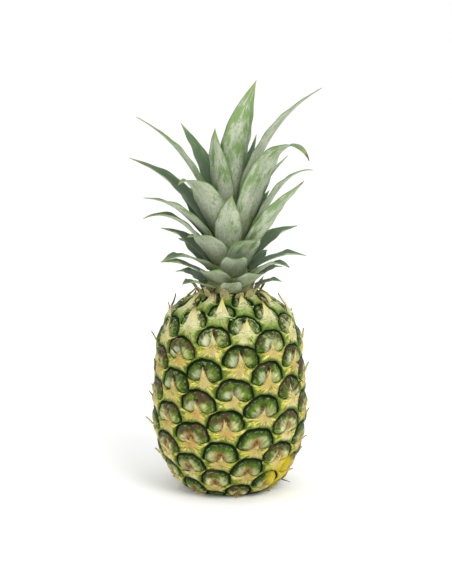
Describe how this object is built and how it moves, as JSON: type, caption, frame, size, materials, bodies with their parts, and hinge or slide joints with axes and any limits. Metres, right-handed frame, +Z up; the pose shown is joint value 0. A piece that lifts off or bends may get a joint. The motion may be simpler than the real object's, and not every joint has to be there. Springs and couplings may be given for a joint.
{
  "type": "pineapple",
  "caption": "Whole ripe pineapple standing upright: barrel-shaped fruit with a rind of hexagonal eyes and small spines, and a crown of arching pointed leaves.",
  "frame": {"origin": "centre of the flat cut end of the stalk that the fruit stands on", "axes": "+Z up along the fruit's axis towards the crown, -Y towards the viewer, +X to the viewer's right"},
  "size_m": [0.1414, 0.1306, 0.305],
  "materials": {
    "rind": "satin, waxy green eyes with a grey bloom, yellow bracts between them",
    "crown_stem": "matt, pale fibrous stem",
    "leaf": "satin, grey-green leaf with a waxy bloom"
  },
  "bodies": {
    "root": {"fruit": "rind", "crown_stem": "crown_stem", "leaf_01": "leaf", "leaf_02": "leaf", "leaf_03": "leaf", "leaf_04": "leaf", "leaf_05": "leaf", "leaf_06": "leaf", "leaf_07": "leaf", "leaf_08": "leaf", "leaf_09": "leaf", "leaf_10": "leaf", "leaf_11": "leaf", "leaf_12": "leaf", "leaf_13": "leaf", "leaf_14": "leaf", "leaf_15": "leaf", "leaf_16": "leaf", "leaf_17": "leaf", "leaf_18": "leaf", "leaf_19": "leaf", "leaf_20": "leaf", "leaf_21": "leaf", "leaf_22": "leaf", "leaf_23": "leaf", "leaf_24": "leaf", "leaf_25": "leaf", "leaf_26": "leaf", "leaf_27": "leaf", "leaf_28": "leaf", "leaf_29": "leaf", "leaf_30": "leaf", "leaf_31": "leaf", "leaf_32": "leaf", "leaf_33": "leaf", "leaf_34": "leaf", "leaf_35": "leaf", "leaf_36": "leaf", "leaf_37": "leaf", "leaf_38": "leaf", "leaf_39": "leaf", "leaf_40": "leaf", "leaf_41": "leaf", "leaf_42": "leaf", "leaf_43": "leaf", "leaf_44": "leaf", "leaf_45": "leaf", "leaf_46": "leaf", "leaf_47": "leaf", "leaf_48": "leaf", "leaf_49": "leaf", "leaf_50": "leaf", "leaf_51": "leaf", "leaf_52": "leaf"}
  },
  "joints": []
}
